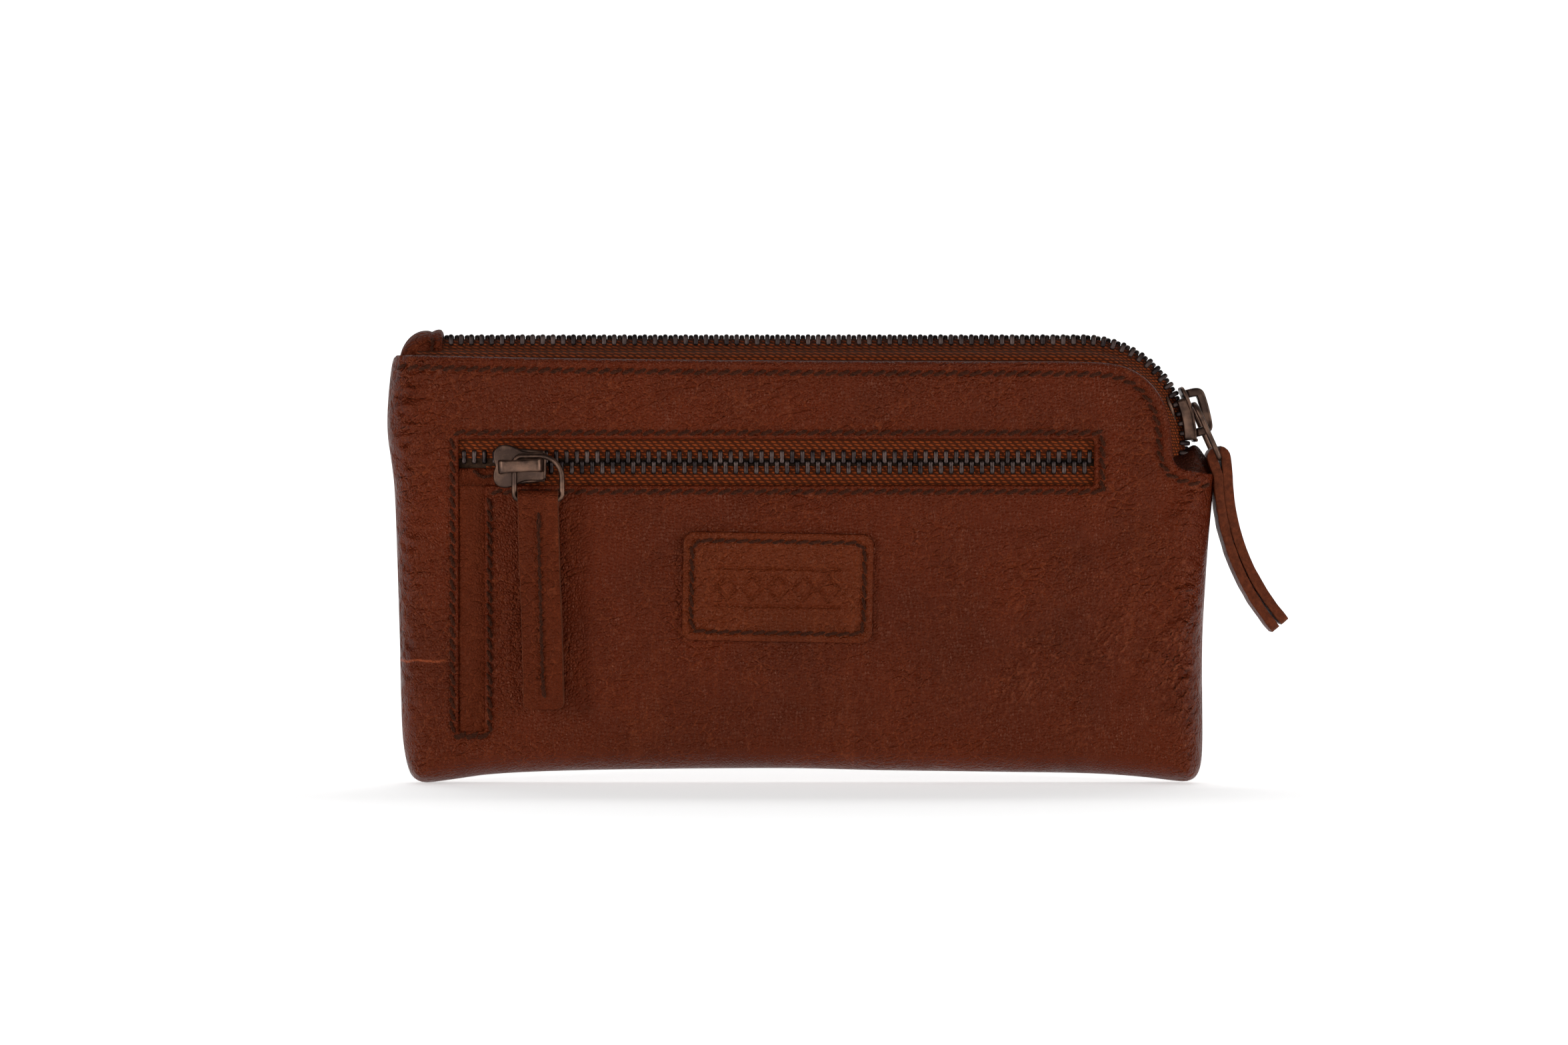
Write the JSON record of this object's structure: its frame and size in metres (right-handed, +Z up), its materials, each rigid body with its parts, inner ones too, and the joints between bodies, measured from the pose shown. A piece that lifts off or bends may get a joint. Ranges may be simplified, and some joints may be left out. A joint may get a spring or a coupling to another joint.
{
  "type": "zippered pouch",
  "caption": "Flat leather pouch with a zip along the top and round one corner, a zipped front pocket, an upright slip slot, and folded leather pulls on wire rings.",
  "frame": {"origin": "middle of the flat base that the pouch stands on, half way between its front and back", "axes": "+Z up, +X to the viewer's right when the front is seen, front towards -Y"},
  "size_m": [0.2209, 0.0237, 0.1111],
  "materials": {
    "leather_dark": "semi-gloss, pebbled grain",
    "leather_patch": "smooth, satin",
    "leather_edge": "satin",
    "lining_cloth": "plain weave",
    "zip_tape": "herringbone weave",
    "zip_metal": "antique, worn edges",
    "thread": "waxed"
  },
  "bodies": {
    "pouch": {"front_panel": "leather_dark", "back_panel": "leather_dark", "front_lining": "lining_cloth", "back_lining": "lining_cloth", "pocket_bag_front": "lining_cloth", "pocket_bag_back": "lining_cloth", "pocket_bag_edge": "lining_cloth", "slip_bag": "lining_cloth", "slot_welt": "leather_edge", "label_patch": "leather_patch", "main_tape_front": "zip_tape", "main_tape_back": "zip_tape", "main_teeth_front": "zip_metal", "main_teeth_back": "zip_metal", "zip_tab_left": "leather_edge", "zip_tab_right": "leather_edge", "pocket_tape_upper": "zip_tape", "pocket_tape_lower": "zip_tape", "pocket_teeth_upper": "zip_metal", "pocket_teeth_lower": "zip_metal", "hem_stitching_front": "thread", "hem_stitching_back": "thread", "pocket_stitching": "thread", "slot_stitching": "thread", "patch_stitching": "thread"},
    "pocket_slider": {"pocket_slider_body": "zip_metal", "pocket_slider_crown": "zip_metal"},
    "pocket_ring": {"pocket_ring": "zip_metal"},
    "pocket_pull": {"pocket_pull": "leather_edge", "pull_stitching": "thread"},
    "main_slider": {"main_slider_body": "zip_metal", "main_slider_crown": "zip_metal"},
    "main_ring": {"main_ring": "zip_metal"},
    "main_pull": {"main_pull": "leather_edge"}
  },
  "joints": [
    {"name": "pocket_zip", "type": "slide", "parent": "pouch", "child": "pocket_slider", "axis": [1, 0, 0], "range_m": [0, 0.13]},
    {"name": "pocket_ring_hinge", "type": "hinge", "parent": "pocket_slider", "child": "pocket_ring", "pos_m": [-0.0694, -0.01205, 0.0787], "axis": [0, 0, -1], "range_deg": [0, 80]},
    {"name": "pocket_pull_hinge", "type": "hinge", "parent": "pocket_ring", "child": "pocket_pull", "pos_m": [-0.0636, -0.01205, 0.0696], "axis": [-1, 0, 0], "range_deg": [0, 120]},
    {"name": "main_zip", "type": "hinge", "parent": "pouch", "child": "main_slider", "pos_m": [0.0695, 0, 0.084], "axis": [0, -1, 0], "range_deg": [0, 60]},
    {"name": "main_ring_hinge", "type": "hinge", "parent": "main_slider", "child": "main_ring", "pos_m": [0.0966, 0, 0.0929], "axis": [0, -1, 0], "range_deg": [0, 60]},
    {"name": "main_pull_hinge", "type": "hinge", "parent": "main_ring", "child": "main_pull", "pos_m": [0.1025, 0, 0.0798], "axis": [0, -1, 0], "range_deg": [0, 100]}
  ]
}
